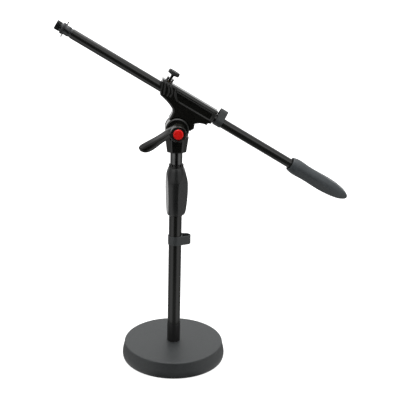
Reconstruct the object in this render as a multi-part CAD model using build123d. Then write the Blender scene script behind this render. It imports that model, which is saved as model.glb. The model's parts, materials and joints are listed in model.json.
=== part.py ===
from build123d import *
import math
import os

# Boom microphone stand on a round cast-iron base, in millimetres.
# Origin: centre of the base's underside, on the floor. +Z is up.
# The boom lies in the XZ plane, its microphone end towards -X, its grip towards +X.
# The clamping lever of the boom joint is on the -Y side.

# ---- driving dimensions: base and lower tube ----
base_radius = 90.0
base_height = 29.0
base_draft = 3.4
ring_proud = 1.0
ring_radius = 81.0
ring_width = 6.0
tube_radius = 11.1
tube_bore = 9.7
tube_top = 330.0
sleeve_height = 35.0
bolt_radius = 5.0

# ---- height clutch ----
clutch_bottom = 264.0
clutch_top = 347.0
clutch_widest = 306.0
clutch_widest_radius = 21.1
collar_height = 5.0
scoop_distance = 15.2
scoop_headings = (-172.0, -35.0, 76.0)
collar_radius = 12.4

# ---- upper tube and its swivel stud ----
upper_radius = 9.3
upper_bore = 8.1
upper_bottom = 70.0
ferrule_bottom = 353.0
head_bottom = 374.0
ferrule_radius = 10.25
stud_radius = 6.0
stud_length = 13.0

# ---- boom joint ----
pivot_height = 412.5
boom_tilt = 30.3
boom_rise = 45.2
disc_radius = 19.4
cheek_outer = 17.5
cheek_inner = 9.2
tongue_half = 8.5
tongue_radius = 19.0
saddle_radius = 20.6
pivot_radius = 4.0

# ---- clamping lever ----
hub_radius = 13.0
hub_back = -20.2
hub_front = -48.0
handle_drop = 31.0
button_radius = 8.2
button_proud = 1.8

# ---- boom clamp housing, measured along the boom from the pivot ----
clamp_half_width = 13.0
clamp_top = 59.2
clamp_front_top = -62.4
clamp_front_bottom = -52.8
clamp_rear = 42.5
bush_radius = 9.2
thumb_position = -50.5
knob_radius = 9.7

# ---- boom, measured along the boom from the pivot ----
boom_radius = 8.0
boom_bore = 6.8
boom_tip = -247.4
boom_tube_front = -219.5
boom_tube_rear = 266.0
thread_radius = 7.9375
grip_front = 195.2
grip_rear = 312.7

# ---- cable clips ----
clip_wall = 1.2
clip_heading = 8.0

# ---- fits ----
running = 0.05  # radial clearance between pieces that turn or slide on each other


def on_boom(shape):
    """Move a shape from the boom's own frame (x along it, z away from the floor) to the pivot."""
    return Pos(0, 0, pivot_height) * Rot(0, boom_tilt, 0) * shape


def along_x(radius, start, end):
    """A cylinder along X between two stations."""
    return Pos((start + end) / 2, 0, 0) * Rot(0, 90, 0) * Cylinder(radius, abs(end - start))


def along_y(radius, start, end):
    """A cylinder along Y between two stations."""
    return Pos(0, (start + end) / 2, 0) * Rot(90, 0, 0) * Cylinder(radius, abs(end - start))


def along_z(radius, bottom, top):
    """A cylinder along Z between two heights."""
    return Pos(0, 0, (bottom + top) / 2) * Cylinder(radius, top - bottom)


def block(x0, x1, y0, y1, z0, z1):
    """A box between two corners."""
    centre = Pos((x0 + x1) / 2, (y0 + y1) / 2, (z0 + z1) / 2)
    return centre * Box(x1 - x0, y1 - y0, z1 - z0)


def side_plate(points, half_width):
    """A plate of an outline in the XZ plane, as thick as twice half_width along Y."""
    face = make_face(Polyline(*[(x, 0, z) for x, z in points], close=True))
    return extrude(face, half_width, both=True)


def hexagon_bar(across_flats, length):
    """A hexagonal bar standing on the origin along Z."""
    return extrude(RegularPolygon(across_flats / 2, 6, major_radius=False), length)


# ---------------------------------------------------------------- base and lower tube


def base_casting():
    """Disc with a rounded drafted wall, hollowed underneath around a centre boss and a ring groove."""
    wall = [
        (base_radius - 1.3, ring_proud),
        (base_radius, 6),
        (base_radius - 0.9, 15),
        (base_radius - base_draft, base_height),
    ]
    side = Spline(*[(r, 0, z) for r, z in wall])
    top = (base_radius - base_draft, 0, base_height)
    close = Polyline(top, (0, 0, base_height), (0, 0, ring_proud), (base_radius - 1.3, 0, ring_proud))
    disc = revolve(make_face(side + close), Axis.Z)
    top_rim = disc.edges().filter_by(GeomType.CIRCLE).sort_by(Axis.Z)[-1]
    disc = fillet(top_rim, 2.5)
    hollow = along_z(72, ring_proud, 9) - along_z(22, ring_proud, 9)
    groove = along_z(ring_radius + ring_width / 2, ring_proud, 5)
    groove -= along_z(ring_radius - ring_width / 2, ring_proud, 5)
    bolt_seat = along_z(11.5, ring_proud, 10)
    bolt_hole = along_z(bolt_radius + 0.4, 9, base_height)
    return disc - hollow - groove - bolt_seat - bolt_hole


def rubber_base_ring():
    """Rubber ring set in the underside groove, standing proud of the casting."""
    outer = along_z(ring_radius + ring_width / 2, 0, 5)
    return outer - along_z(ring_radius - ring_width / 2, 0, 5)


def base_bolt():
    """Hexagon bolt from below into the tube's foot plug."""
    head = Pos(0, 0, 2) * hexagon_bar(16, 6.4)
    return head + along_z(bolt_radius, 8.4, 52)


def base_washer():
    """Washer between the bolt head and the casting."""
    return along_z(10, 8.4, 10) - along_z(bolt_radius + 0.3, 8.4, 10)


def lower_tube():
    """Fixed outer tube of the column."""
    return along_z(tube_radius, base_height, tube_top) - along_z(tube_bore, base_height, tube_top)


def tube_foot_plug():
    """Threaded plug in the tube's lower end that takes the base bolt."""
    return along_z(tube_bore, base_height, 55) - along_z(bolt_radius, base_height, 55)


def tube_foot_sleeve():
    """Thin plastic sleeve round the tube's lower end."""
    top = base_height + sleeve_height
    sleeve = along_z(tube_radius + 0.45, base_height, top)
    return sleeve - along_z(tube_radius, base_height, top)


# ---------------------------------------------------------------- height clutch


def clutch_profile():
    """Outer curve of the clutch grip as (radius, height) points, bottom to top."""
    return [
        (13.0, clutch_bottom),
        (16.6, clutch_bottom + 3),
        (18.5, clutch_bottom + 10.5),
        (clutch_widest_radius - 0.7, clutch_widest - 16),
        (clutch_widest_radius, clutch_widest - 4),
        (clutch_widest_radius - 0.9, clutch_widest + 15.7),
        (17.7, clutch_widest + 26),
        (14.8, clutch_top - 4.3),
        (collar_radius + 0.2, clutch_top),
    ]


def clutch_grip_cover():
    """Soft barrel grip with three long flat scoops, moulded on the hard shell."""
    outer = Spline(*[(r, 0, z) for r, z in clutch_profile()])
    bottom, top = clutch_bottom, clutch_top
    close = Polyline((collar_radius + 0.2, 0, top), (0, 0, top), (0, 0, bottom), (13.0, 0, bottom))
    grip = revolve(make_face(outer + close), Axis.Z)
    for heading in scoop_headings:
        scoop = block(scoop_distance, scoop_distance + 20, -30, 30, -60, 60)
        scoop = Pos(0, 0, clutch_widest) * Rot(0, 1.5, 0) * scoop
        grip -= Rot(0, 0, heading) * scoop
    return grip - clutch_shell_solid()


def clutch_shell_radius(height):
    """Outer radius of the clutch's hard shell at a height: thickest at mid height."""
    middle = (clutch_bottom + clutch_top) / 2
    reach = (clutch_top - clutch_bottom) / 2
    return collar_radius - 0.2 + 2.2 * math.cos((height - middle) / reach * math.pi / 2)


def clutch_shell_solid():
    """The hard shell's outer form, without its bore."""
    steps = 8
    heights = [clutch_bottom + (clutch_top - clutch_bottom) * i / steps for i in range(steps + 1)]
    curve = Spline(*[(clutch_shell_radius(z), 0, z) for z in heights])
    close = Polyline(
        (clutch_shell_radius(clutch_top), 0, clutch_top),
        (0, 0, clutch_top),
        (0, 0, clutch_bottom),
        (clutch_shell_radius(clutch_bottom), 0, clutch_bottom),
    )
    return revolve(make_face(curve + close), Axis.Z)


def clutch_barrel():
    """Hard threaded shell that squeezes the collet when it is twisted."""
    shell = clutch_shell_solid()
    mouth = along_z(tube_radius + 0.3, clutch_bottom, 290)
    thread_room = along_z(13.15, 290, 333)
    cone_room = Pos(0, 0, 338.5) * Cone(12.7, 10.2, 11)
    opening = along_z(upper_radius + 0.4, 343, clutch_top)
    return shell - mouth - thread_room - cone_room - opening


def clutch_collar():
    """Castellated collar on the top of the barrel."""
    top = clutch_top + collar_height
    collar = along_z(collar_radius, clutch_top, top) - along_z(upper_radius + 0.4, clutch_top, top)
    notch_count = 12
    for index in range(notch_count):
        notch = block(10.6, collar_radius + 1, -1.2, 1.2, top - 3, top)
        collar -= Rot(0, 0, 360 / notch_count * index) * notch
    return collar


def clutch_core():
    """Threaded collar fixed on the top of the lower tube."""
    collar = along_z(13.0, 291, 332.4) - along_z(tube_radius, 291, tube_top)
    return collar - along_z(tube_bore, 291, 332.4)


def clutch_collet():
    """Slotted ring that grips the upper tube."""
    collet = Pos(0, 0, 337.5) * Cone(12.0, 10.4, 9)
    collet -= along_z(upper_radius + running, 332, 343)
    for index in range(4):
        collet -= Rot(0, 0, 90 * index + 45) * block(8, 13, -0.6, 0.6, 335.5, 342.5)
    return collet


# ---------------------------------------------------------------- upper tube


def upper_tube():
    """Sliding inner tube of the column."""
    tube = along_z(upper_radius, upper_bottom, head_bottom - 2)
    tube -= along_z(upper_bore, upper_bottom, head_bottom - 2)
    return tube - ferrule_screw_hole()


def ferrule_screw_hole():
    """Radial hole at the front of the tube's head for the grub screw."""
    return Pos(0, 0, head_bottom - 6) * along_y(2.0, -ferrule_radius - 1, -6.4)


def tube_guide_bush():
    """Nylon bush in the inner tube's lower end, guiding it in the outer tube."""
    flange = along_z(tube_bore - 0.08, upper_bottom - 8, upper_bottom)
    bush = flange + along_z(upper_bore, upper_bottom, upper_bottom + 12)
    return bush - along_z(5.5, upper_bottom - 8, upper_bottom + 12)


def tube_head_plug():
    """Plug in the tube's top with the stud that the boom joint turns on."""
    plug = along_z(upper_bore, head_bottom - 26, head_bottom - 2)
    flange = along_z(ferrule_radius - 0.1, head_bottom - 2, head_bottom - 0.4)
    stud_top = head_bottom + stud_length
    stud = along_z(stud_radius, head_bottom - 0.4, stud_top)
    groove = along_z(stud_radius + 1, head_bottom + 5, head_bottom + 9)
    groove -= along_z(stud_radius - 1.5, head_bottom + 5, head_bottom + 9)
    return plug + flange + stud - groove - ferrule_screw_hole()


def tube_ferrule():
    """Steel ferrule round the tube's head."""
    sleeve = along_z(ferrule_radius, ferrule_bottom, head_bottom - 2)
    sleeve -= along_z(upper_radius, ferrule_bottom, head_bottom - 2)
    return sleeve - ferrule_screw_hole()


def ferrule_screw():
    """Grub screw that locks the plug in the tube."""
    screw = Pos(0, 0, head_bottom - 6) * along_y(2.0, -ferrule_radius, -6.4)
    socket = Pos(0, -ferrule_radius, head_bottom - 6) * Rot(90, 0, 0) * Pos(0, 0, -1.5) * hexagon_bar(2, 3)
    return screw - socket


# ---------------------------------------------------------------- boom joint, lower half


def knuckle_skirt():
    """Tapered foot of the joint: a flat front and back with bevelled corners."""
    lower = eight_sided(15.9, 14.5, 6.2)
    upper = eight_sided(19.3, cheek_outer, 6.6)
    foot_top = pivot_height - 12
    body = loft([Pos(0, 0, head_bottom) * lower, Pos(0, 0, foot_top) * upper])
    panel_lower = Rectangle(19, 2 * 15.6)
    panel_upper = Rectangle(21, 2 * (cheek_outer + 0.8))
    panel = loft([Pos(0, 0, head_bottom + 1) * panel_lower, Pos(0, 0, foot_top - 4) * panel_upper])
    return body + panel


def eight_sided(half_x, half_y, bevel):
    """A rectangle with its four corners bevelled."""
    rectangle = Rectangle(2 * half_x, 2 * half_y)
    return chamfer(rectangle.vertices(), bevel)


def swivel_knuckle():
    """Fork that carries the pivot and turns on the tube's stud."""
    pivot = Pos(0, 0, pivot_height)
    cheeks = pivot * along_y(disc_radius, -cheek_outer, cheek_outer)
    knuckle = knuckle_skirt() + cheeks
    knuckle -= pivot * along_y(saddle_radius - 0.2, -cheek_inner, cheek_inner)
    knuckle -= block(-21, 21, -cheek_inner, cheek_inner, pivot_height, pivot_height + 30)
    recess = pivot * along_y(disc_radius - 2.2, -cheek_outer - 4, -cheek_outer + 1.5)
    knuckle -= recess
    rear_recess = pivot * along_y(disc_radius - 2.2, cheek_outer - 1.0, cheek_outer + 4)
    knuckle -= rear_recess
    knuckle -= pivot * along_y(pivot_radius + 0.1, -30, 30)
    knuckle -= pivot * Pos(0, 11.9, 0) * Rot(-90, 0, 0) * hexagon_bar(13.2, 10)
    knuckle -= along_z(stud_radius + running, head_bottom - 1, head_bottom + stud_length + 0.3)
    knuckle -= Pos(0, 0, head_bottom + 7) * along_y(1.5, 4.7, 25)
    return knuckle


def knuckle_set_screw():
    """Set screw from the back whose tip runs in the stud's groove."""
    return Pos(0, 0, head_bottom + 7) * along_y(1.5, 4.8, 14.0)


def pivot_bolt():
    """Hexagon bolt held in the rear cheek, its threaded end in the lever's nut."""
    head = Pos(0, 12, pivot_height) * Rot(-90, 0, 0) * hexagon_bar(13, 5.5)
    return head + Pos(0, 0, pivot_height) * along_y(pivot_radius, -32, 12)


def friction_washers():
    """Two thin fibre washers, one each side of the boom's tongue."""
    washers = []
    for side in (-1, 1):
        ring = along_y(16.0, side * (tongue_half + running), side * (cheek_inner - running))
        ring -= along_y(pivot_radius + 0.2, side * tongue_half, side * cheek_inner)
        washers.append(Pos(0, 0, pivot_height) * ring)
    return Compound(children=washers)


def front_washer():
    """Steel washer in the front recess, under the lever."""
    washer = along_y(9.0, -17.9, -cheek_outer + 1.5)
    washer -= along_y(pivot_radius + 0.2, -18, -15)
    return Pos(0, 0, pivot_height) * washer


# ---------------------------------------------------------------- clamping lever


def lever_frame(shape):
    """Move a shape drawn along +X in the XZ plane to the lever's direction at the pivot."""
    return Pos(0, 0, pivot_height) * Rot(0, 180 - handle_drop, 0) * shape


def handle_section(distance, lower, upper, thickness, depth):
    """One rounded cross-section of the handle, standing across the lever's length."""
    height = abs(upper - lower)
    middle = (upper + lower) / 2
    plane = Plane(origin=(distance, depth, middle), x_dir=(0, 1, 0), z_dir=(1, 0, 0))
    return plane * RectangleRounded(thickness, height, min(thickness, height) * 0.42)


def clamping_lever():
    """Hub with an offset handle whose upper edge is tangent to the hub."""
    hub = along_y(hub_radius, hub_front, hub_back)
    rim = hub.edges().filter_by(GeomType.CIRCLE).sort_by(Axis.Y)[0]
    hub = chamfer(rim, 1.0)
    shoulder = hub.edges().filter_by(GeomType.CIRCLE).sort_by(Axis.Y)[-1]
    hub = chamfer(shoulder, 2.0)
    hub = lever_frame(hub)
    sections = [
        handle_section(2, -1.0, -12.6, 20, -34),
        handle_section(14, 0.5, -12.8, 15, -35.5),
        handle_section(30, 1.0, -13.4, 11.5, -38.5),
        handle_section(44, 2.4, -14.4, 11, -41),
        handle_section(56, 1.5, -15.0, 9.5, -42.5),
        handle_section(64, -4.5, -14.0, 6, -43),
    ]
    handle = lever_frame(loft(sections))
    lever = hub + handle
    pivot = Pos(0, 0, pivot_height)
    lever -= pivot * along_y(button_radius + 0.3, hub_front - 1, -25)
    lever -= pivot * along_y(6.1, -26, -20)
    dish = pivot * Pos(0, hub_front + 0.6, 0) * Rot(90, 0, 0) * Cone(9.4, 11.4, 1.4)
    return lever - dish


def lever_nut():
    """Threaded bush that the bolt screws into, with a flange against the washer."""
    nut = along_y(8.6, -19.9, -18.0) + along_y(6.0, -35, -19.9)
    nut -= along_y(pivot_radius + running, -32.6, -17)
    nut -= along_y(2.0, -36, -32)
    return Pos(0, 0, pivot_height) * nut


def lever_screw():
    """Screw that keeps the lever and its spring on the threaded bush."""
    screw = along_y(7.7, -37.6, -35.6) + along_y(2.0, -35.6, -32.7)
    return Pos(0, 0, pivot_height) * screw


def lever_spring():
    """Coil spring that holds the lever's splines in mesh."""
    pitch, turns, wire = 2.6, 3.5, 0.55
    path = Helix(pitch, pitch * turns, 6.9)
    start = path @ 0
    profile = Plane(origin=start, z_dir=path % 0) * Circle(wire)
    coil = sweep(profile, path, is_frenet=True)
    return Pos(0, -25.7, pivot_height) * Rot(90, 0, 0) * coil


def lever_button():
    """Release button in the middle of the hub, bevelled round its face."""
    button = along_y(button_radius, hub_front - button_proud, -40.6)
    face_rim = button.edges().filter_by(GeomType.CIRCLE).sort_by(Axis.Y)[0]
    button = chamfer(face_rim, 1.2)
    return Pos(0, 0, pivot_height) * button


# ---------------------------------------------------------------- boom clamp


def clamp_outline():
    """Side outline of the housing and its neck, in the boom's frame."""
    return [
        (clamp_front_top, clamp_top),
        (clamp_front_bottom, 34.4),
        (-46.0, 33.0),
        (-39.1, 31.2),
        (-31.0, 28.4),
        (-24.6, 25.2),
        (-21.3, 21.8),
        (-20.5, 8.0),
        (-19.2, 7.4),
        (18.6, 7.9),
        (19.7, 8.4),
        (23.0, 15.2),
        (19.9, 22.6),
        (26.1, 27.4),
        (32.6, 29.8),
        (37.5, 30.4),
        (38.1, 34.4),
        (clamp_rear, 35.8),
        (clamp_rear, clamp_top),
    ]


def clamp_side_recesses(side):
    """Shallow panel and slanted grip slots in one flank, side is -1 or 1."""
    depth = 1.1
    outer = side * (clamp_half_width + 1)
    inner = side * (clamp_half_width - depth)
    middle = (outer + inner) / 2
    thickness = abs(outer - inner)
    panel = side_plate([(-33, 53.2), (37.5, 53.2), (37.5, 39.8), (-25, 39.8)], thickness / 2)
    cuts = Pos(0, middle, 0) * panel
    for index in range(4):
        x = -58.4 + 6.2 * index
        slot = side_plate([(x, 53.2), (x + 3.0, 53.2), (x + 8.4, 39.2), (x + 5.4, 39.2)], thickness / 2)
        cuts += Pos(0, middle, 0) * slot
    return cuts


def boom_clamp_body():
    """Housing that holds the boom, with a neck, a tongue for the fork and a split screw boss."""
    body = side_plate(clamp_outline(), clamp_half_width)
    rear_corners = body.edges().filter_by(Axis.Z).group_by(Axis.X)[-1]
    body = fillet(rear_corners, 4.0)
    top_edges = body.edges().filter_by(Axis.X).group_by(Axis.Z)[-1]
    body = fillet(top_edges, 5.0)
    body -= clamp_side_recesses(-1) + clamp_side_recesses(1)
    for side in (-1, 1):
        body -= along_y(saddle_radius, side * tongue_half, side * (clamp_half_width + 1))
    body += along_y(tongue_radius, -tongue_half, tongue_half)
    body -= along_y(pivot_radius + 0.1, -20, 20)
    boss = Pos(thumb_position, 0, 0) * along_z(6.2, clamp_top - 3, clamp_top + 6.5)
    boss -= block(thumb_position - 2.9, thumb_position + 2.9, -8, 8, clamp_top + 0.4, clamp_top + 7)
    body += boss
    body -= Pos(0, 0, boom_rise) * along_x(boom_radius + 0.5, -70, 50)
    for start, end in ((-49.0, -30.0), (22.0, clamp_rear)):
        body -= Pos(0, 0, boom_rise) * along_x(bush_radius, start, end)
    body -= Pos(thumb_position, 0, 0) * along_z(4.0, boom_rise + 5, clamp_top + 0.4)
    return on_boom(body)


def clamp_bushes():
    """Two nylon bushes that the boom slides in."""
    bushes = []
    for start, end in ((-44.0, -30.0), (22.0, clamp_rear)):
        bush = along_x(bush_radius, start, end) - along_x(boom_radius + running, start - 1, end + 1)
        bushes.append(on_boom(Pos(0, 0, boom_rise) * bush))
    return Compound(children=bushes)


def clamp_thread_insert():
    """Brass thread in the top wall for the thumb screw."""
    insert = along_z(4.0, boom_rise + 9.4, clamp_top + 0.4)
    insert -= along_z(2.5 + running, boom_rise + 9, clamp_top + 1)
    return on_boom(Pos(thumb_position, 0, 0) * insert)


def pressure_pad():
    """Plastic pad that the thumb screw presses on the boom."""
    pad = along_z(3.9, boom_rise + boom_radius + 0.06, boom_rise + 9.3)
    return on_boom(Pos(thumb_position, 0, 0) * pad)


def thumb_knob():
    """Fluted head of the thumb screw."""
    bottom = clamp_top + 13.2
    top = bottom + 5.8
    knob = along_z(knob_radius, bottom, top)
    knob = chamfer(knob.edges().filter_by(GeomType.CIRCLE), 0.8)
    flute_count = 16
    for index in range(flute_count):
        flute = Pos(knob_radius + 0.7, 0, 0) * along_z(1.3, bottom - 1, top + 1)
        knob -= Rot(0, 0, 360 / flute_count * index) * flute
    knob += along_z(3.6, bottom - 2.2, bottom)
    knob -= along_z(2.5, bottom - 3, bottom + 3.5)
    return on_boom(Pos(thumb_position, 0, 0) * knob)


def thumb_screw():
    """Threaded shank of the thumb screw, moulded into its knob."""
    shank = along_z(2.5, boom_rise + 9.4, clamp_top + 13.2 + 3.5)
    return on_boom(Pos(thumb_position, 0, 0) * shank)


# ---------------------------------------------------------------- boom


def boom_tube():
    """Steel tube of the boom."""
    tube = along_x(boom_radius, boom_tube_front, boom_tube_rear)
    tube -= along_x(boom_bore, boom_tube_front, boom_tube_rear)
    return on_boom(Pos(0, 0, boom_rise) * tube)


def boom_end_plug():
    """Plug in the tube's front end with the microphone thread, a 5/8 inch stud."""
    thread = along_x(thread_radius, boom_tip, boom_tip + 7.9)
    thread = chamfer(thread.edges().filter_by(GeomType.CIRCLE).sort_by(Axis.X)[0], 0.5)
    relief = along_x(7.1, boom_tip + 7.9, boom_tip + 9.9)
    seat = along_x(thread_radius, boom_tip + 9.9, boom_tip + 16.8)
    collar = along_x(boom_radius, boom_tip + 16.8, boom_tip + 24.6)
    groove = along_x(7.1, boom_tip + 24.6, boom_tube_front)
    spigot = along_x(boom_bore, boom_tube_front, boom_tube_front + 24)
    plug = thread + relief + seat + collar + groove + spigot
    return on_boom(Pos(0, 0, boom_rise) * plug)


def thread_lock_ring():
    """Ring that is turned against the microphone clip to lock it."""
    front = boom_tip + 10.0
    bevel = Pos(front + 0.75, 0, 0) * Rot(0, 90, 0) * Cone(8.4, 9.2, 1.5)
    ring = bevel + along_x(9.2, front + 1.5, front + 4.4) + along_x(8.7, front + 4.4, front + 6.7)
    ring -= along_x(thread_radius + running, front - 1, front + 8)
    for side in (-1, 1):
        ring -= Pos(front + 5.5, 0, 0) * along_z(0.8, min(side * 8.2, side * 12), max(side * 8.2, side * 12))
    return on_boom(Pos(0, 0, boom_rise) * ring)


def lock_ring_pins():
    """Two short ball-ended pins pressed in the lock ring, for turning it by hand."""
    pins = []
    for side in (-1, 1):
        low, high = sorted((side * 8.2, side * 12.2))
        pin = along_z(0.8, low, high) + Pos(0, 0, side * 12.2) * Sphere(1.2)
        pins.append(on_boom(Pos(boom_tip + 15.5, 0, boom_rise) * pin))
    return Compound(children=pins)


def grip_profile():
    """Outer curve of the rear grip as (station, radius) points, front to tip."""
    return [
        (grip_front, 11.6),
        (grip_front + 4.2, 12.7),
        (grip_front + 13.5, 13.7),
        (grip_front + 35, 13.1),
        (grip_front + 63.5, 13.9),
        (grip_front + 85, 12.7),
        (grip_front + 103, 9.7),
        (grip_rear - 3.9, 5.2),
        (grip_rear, 0),
    ]


def grip_cover():
    """Soft grip on the rear end of the boom, open at its front."""
    curve = Spline(*[(x, 0, r) for x, r in grip_profile()])
    close = Polyline((grip_rear, 0, 0), (grip_front, 0, 0), (grip_front, 0, 11.6))
    grip = revolve(make_face(curve + close), Axis.X)
    grip -= along_x(10.4, grip_front - 1, grip_front + 9)
    grip -= along_x(boom_radius, grip_front, boom_tube_rear)
    grip -= weight_solid()
    return on_boom(Pos(0, 0, boom_rise) * grip)


def weight_solid():
    """Outer form of the counterweight."""
    return along_x(10.8, grip_front + 16, grip_rear - 30)


def counterweight():
    """Steel weight pressed on the tube's rear end, inside the grip."""
    weight = weight_solid() - along_x(boom_radius, grip_front + 15, boom_tube_rear)
    return on_boom(Pos(0, 0, boom_rise) * weight)


# ---------------------------------------------------------------- cable clips


def teardrop(large, small, distance, height):
    """A bar of two circles and their common tangents: large on the origin, small towards +X."""
    lean = math.asin((large - small) / distance)
    sine, cosine = math.sin(lean), math.cos(lean)
    corners = [
        (large * sine, large * cosine),
        (distance + small * sine, small * cosine),
        (distance + small * sine, -small * cosine),
        (large * sine, -large * cosine),
    ]
    web = extrude(make_face(Polyline(*corners, close=True)), height)
    return along_z(large, 0, height) + Pos(distance, 0, 0) * along_z(small, 0, height) + web


def cable_clip(tube, height, loop_radius, reach):
    """Snap ring with a cable loop that runs off its front, slit at the back beside the ring."""
    outer = tube + clip_wall
    distance = reach - loop_radius
    room = Pos(0, 0, -1) * teardrop(tube, loop_radius - clip_wall, distance, height + 2)
    clip = teardrop(outer, loop_radius, distance, height) - room
    clip += along_z(outer, 0, height)
    clip -= along_z(tube + running, -1, height + 1)
    slit = block(0.75 * outer, 0.75 * outer + 1.3, 0.69 * outer, outer + 2, -1, height + 1)
    return Rot(0, 0, clip_heading) * (clip - slit)


def tube_cable_clip():
    """Cable clip on the lower tube."""
    return Pos(0, 0, 210.8) * cable_clip(tube_radius, 15.5, 8.0, 27.0)


def boom_cable_clip():
    """Cable clip on the boom, its loop away from the floor."""
    clip = cable_clip(boom_radius, 12.8, 6.2, 20.8)
    return on_boom(Pos(59.0, 0, boom_rise) * Rot(0, -90, 0) * clip)


# ---------------------------------------------------------------- write every piece

PIECES = [
    base_casting,
    rubber_base_ring,
    base_bolt,
    base_washer,
    lower_tube,
    tube_foot_plug,
    tube_foot_sleeve,
    clutch_core,
    clutch_collet,
    clutch_barrel,
    clutch_grip_cover,
    clutch_collar,
    upper_tube,
    tube_guide_bush,
    tube_head_plug,
    tube_ferrule,
    ferrule_screw,
    swivel_knuckle,
    knuckle_set_screw,
    pivot_bolt,
    friction_washers,
    front_washer,
    clamping_lever,
    lever_nut,
    lever_screw,
    lever_spring,
    lever_button,
    boom_clamp_body,
    clamp_bushes,
    clamp_thread_insert,
    pressure_pad,
    thumb_knob,
    thumb_screw,
    boom_tube,
    boom_end_plug,
    thread_lock_ring,
    lock_ring_pins,
    grip_cover,
    counterweight,
    tube_cable_clip,
    boom_cable_clip,
]

os.makedirs("parts", exist_ok=True)
for make in PIECES:
    export_step(make(), f"parts/{make.__name__}.step")
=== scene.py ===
import json
import math

import bmesh
import bpy
from mathutils import Matrix, Vector


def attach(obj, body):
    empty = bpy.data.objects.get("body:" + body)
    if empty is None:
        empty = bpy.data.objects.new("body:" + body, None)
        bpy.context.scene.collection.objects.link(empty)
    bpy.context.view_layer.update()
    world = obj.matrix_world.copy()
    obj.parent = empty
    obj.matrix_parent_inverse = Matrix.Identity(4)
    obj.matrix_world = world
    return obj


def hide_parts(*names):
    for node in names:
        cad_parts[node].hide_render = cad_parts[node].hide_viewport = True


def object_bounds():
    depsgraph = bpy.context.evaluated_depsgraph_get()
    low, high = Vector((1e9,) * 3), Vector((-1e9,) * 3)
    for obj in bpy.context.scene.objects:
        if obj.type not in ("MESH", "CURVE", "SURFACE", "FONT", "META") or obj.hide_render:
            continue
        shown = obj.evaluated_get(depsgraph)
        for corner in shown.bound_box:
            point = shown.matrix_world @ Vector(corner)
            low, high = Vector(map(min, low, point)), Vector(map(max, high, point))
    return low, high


# The looks of a boom microphone stand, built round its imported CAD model.
# Shapes are drawn in millimetres in a local frame, and placed in metres in the row frame.

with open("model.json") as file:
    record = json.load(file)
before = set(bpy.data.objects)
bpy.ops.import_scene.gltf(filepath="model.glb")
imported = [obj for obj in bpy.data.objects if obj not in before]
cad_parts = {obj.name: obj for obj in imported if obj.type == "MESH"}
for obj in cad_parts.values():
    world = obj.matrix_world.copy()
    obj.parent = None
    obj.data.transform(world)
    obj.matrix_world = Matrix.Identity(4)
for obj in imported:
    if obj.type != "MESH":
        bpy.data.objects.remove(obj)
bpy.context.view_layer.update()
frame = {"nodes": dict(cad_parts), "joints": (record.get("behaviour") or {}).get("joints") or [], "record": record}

MM = 0.001
nodes = frame["nodes"]
joints = {joint["name"]: joint for joint in frame["joints"]}
node_body = {n: b for b, group in frame["record"]["behaviour"]["bodies"].items() for n in group}

# ---------------------------------------------------------------- local frames

WORLD = Matrix.Scale(MM, 4)
pivot = Vector(joints["boom_tilt"]["pos_m"])
along = Vector(joints["boom_slide"]["axis"]).normalized()
across = Vector((-along.z, 0, along.x))
BOOM = Matrix.Translation(pivot) @ Matrix((
    (along.x, 0, across.x, 0),
    (along.y, 1, across.y, 0),
    (along.z, 0, across.z, 0),
    (0, 0, 0, 1),
)) @ WORLD
rise = (Vector(joints["lock_ring_turn"]["pos_m"]) - pivot).dot(across) / MM
HANDLE_DROP = 31
LEVER = Matrix.Translation(pivot) @ Matrix.Rotation(math.radians(180 - HANDLE_DROP), 4, "Y") @ WORLD
PIVOT = Matrix.Translation(pivot) @ WORLD
Z_TO_X = Matrix.Rotation(math.pi / 2, 4, "Y")
Z_TO_FRONT = Matrix.Rotation(math.pi / 2, 4, "X")
BOOM_AXIS = BOOM @ Matrix.Translation((0, 0, rise)) @ Z_TO_X


def span(node, place=WORLD):
    """Lowest and highest corners of a CAD node in a local frame, in millimetres."""
    back = place.inverted()
    points = [back @ v.co for v in nodes[node].data.vertices]
    low = Vector(min(p[i] for p in points) for i in range(3))
    high = Vector(max(p[i] for p in points) for i in range(3))
    return low, high


# ---------------------------------------------------------------- shapes


def skin(rings, closed=False):
    """A solid between rings of points: capped at both ends, or joined end to end."""
    count = len(rings[0])
    points = [p for ring in rings for p in ring]
    faces = []
    bands = len(rings) if closed else len(rings) - 1
    for i in range(bands):
        a = i * count
        b = (i + 1) % len(rings) * count
        for k in range(count):
            n = (k + 1) % count
            faces.append((a + k, a + n, b + n, b + k))
    if not closed:
        faces.append(tuple(range(count)))
        last = (len(rings) - 1) * count
        faces.append(tuple(last + k for k in range(count)))
    return points, faces


def lathe(profile, count=64, shape=None, closed=False):
    """A solid turned about Z from (radius, height) points, its radius changed by shape(angle, r, z)."""
    rings = []
    for r, z in profile:
        ring = []
        for k in range(count):
            angle = 2 * math.pi * k / count
            radius = shape(angle, r, z) if shape else r
            ring.append((radius * math.cos(angle), radius * math.sin(angle), z))
        rings.append(ring)
    return skin(rings, closed)


def moved(solid, matrix):
    """A solid moved by a matrix."""
    points, faces = solid
    return [tuple(matrix @ Vector(p)) for p in points], faces


def rod(radius, start, end, axis="z", at=(0, 0, 0), count=64):
    """A round bar along an axis, for joining to or cutting from a moulding."""
    solid = lathe([(radius, start), (radius, end)], count)
    if axis == "x":
        solid = moved(solid, Z_TO_X)
    if axis == "y":
        solid = moved(solid, Matrix.Rotation(-math.pi / 2, 4, "X"))
    return moved(solid, Matrix.Translation(at))


def block(x0, x1, y0, y1, z0, z1):
    """A box between two corners."""
    ring = [(x0, y0), (x1, y0), (x1, y1), (x0, y1)]
    return skin([[(x, y, z0) for x, y in ring], [(x, y, z1) for x, y in ring]])


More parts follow.
